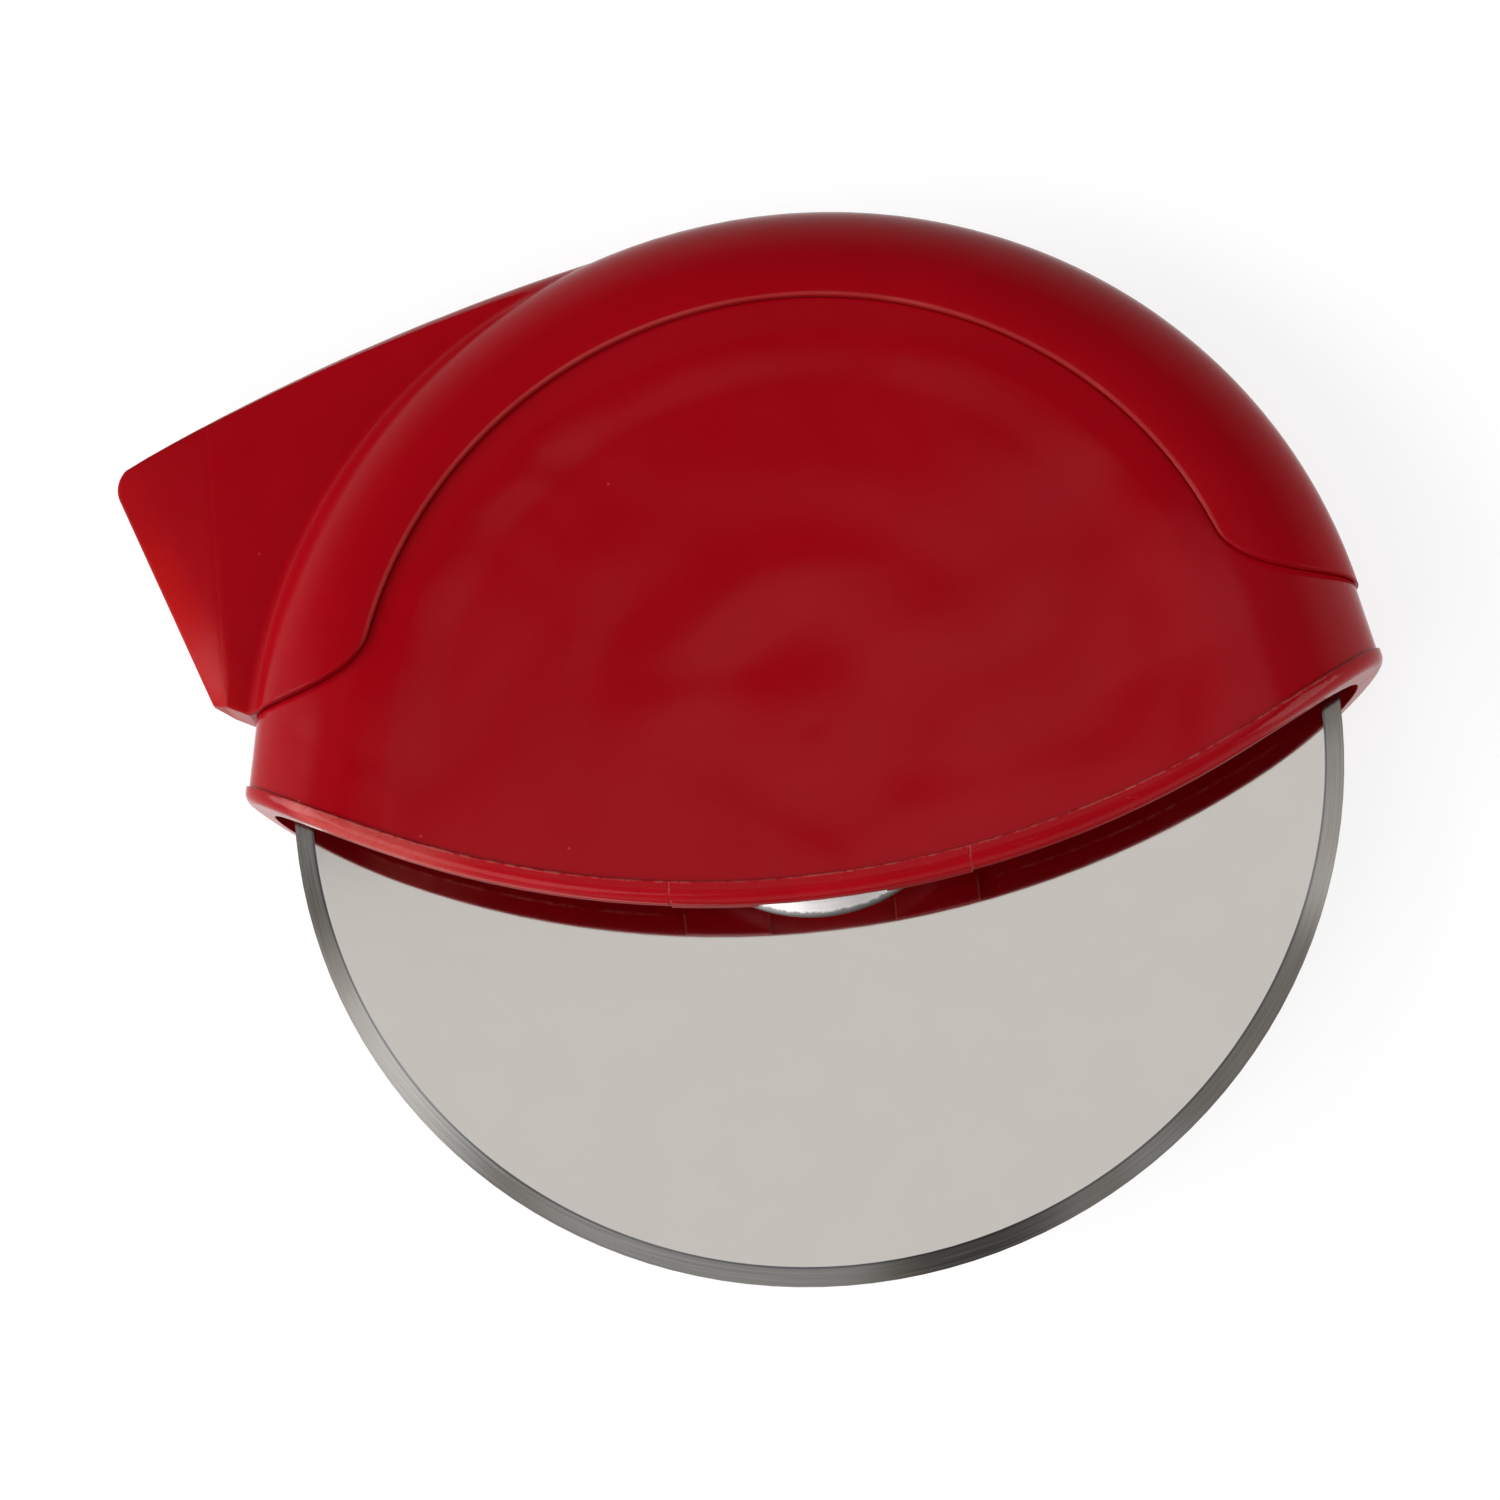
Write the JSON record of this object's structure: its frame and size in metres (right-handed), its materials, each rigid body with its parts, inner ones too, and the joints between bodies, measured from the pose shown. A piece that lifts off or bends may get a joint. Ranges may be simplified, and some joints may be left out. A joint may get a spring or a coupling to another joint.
{
  "type": "palm-held rotary pizza cutter",
  "caption": "Steel cutting wheel that turns inside a flat two-shell plastic housing with an arched grip cap and a thumb fin.",
  "frame": {"origin": "on the wheel's axis, in the plane that the object rests on when it lies down, 0.3 mm outside the flat face of the back panel, because the lip and the cap stand that much proud of it", "axes": "+X along the mouth of the housing, away from the thumb fin; +Y from the mouth up to the top of the grip; +Z along the wheel's axis, from the back panel to the front panel"},
  "size_m": [0.1194, 0.1054, 0.0166],
  "materials": {
    "shell_plastic": "semi-gloss moulded red",
    "cap_plastic": "semi-gloss moulded red",
    "blade_steel": "mirror polished with a ground bevel",
    "hub_steel": "polished",
    "bush_steel": "turned",
    "washer_plastic": "plain"
  },
  "bodies": {
    "housing": {"front_shell": "shell_plastic", "back_shell": "shell_plastic", "grip_cap": "cap_plastic", "axle_pin": "bush_steel", "front_washer": "washer_plastic", "back_washer": "washer_plastic"},
    "wheel": {"cutting_blade": "blade_steel", "front_hub_plate": "hub_steel", "back_hub_plate": "hub_steel", "hub_bush": "bush_steel", "hub_rivets": "hub_steel"}
  },
  "joints": [
    {"name": "wheel_spin", "type": "hinge", "parent": "housing", "child": "wheel", "pos_m": [0, 0, 0.0083], "axis": [0, 0, 1], "continuous": true}
  ]
}
